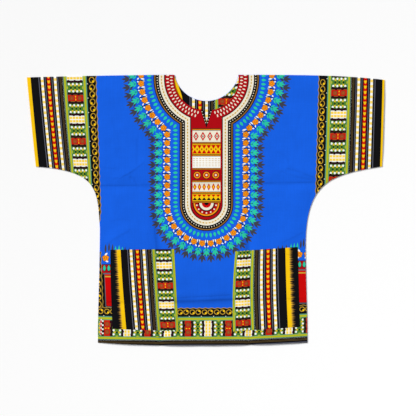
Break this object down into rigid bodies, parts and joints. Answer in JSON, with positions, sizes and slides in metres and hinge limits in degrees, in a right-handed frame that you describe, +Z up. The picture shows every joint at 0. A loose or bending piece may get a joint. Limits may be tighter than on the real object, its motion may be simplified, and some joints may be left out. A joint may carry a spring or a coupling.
{
  "type": "dashiki shirt",
  "caption": "Loose pull-on cotton shirt laid out flat, with wide cut-on sleeves, a round neck with a short front slit, a striped neck facing and patch pockets.",
  "frame": {"origin": "under the middle of the outline, on the surface the shirt lies on", "axes": "+X across to the right cuff as seen from above, +Y from hem to neck, +Z up out of the front"},
  "size_m": [0.9974, 0.7548, 0.0065],
  "materials": {
    "blue_cotton": "printed plain-weave cotton, soft sheen",
    "striped_cotton": "printed plain-weave cotton, soft sheen"
  },
  "bodies": {
    "root": {"back": "blue_cotton", "front": "blue_cotton", "neck_facing": "striped_cotton", "pocket_left": "striped_cotton", "pocket_right": "striped_cotton"}
  },
  "joints": []
}
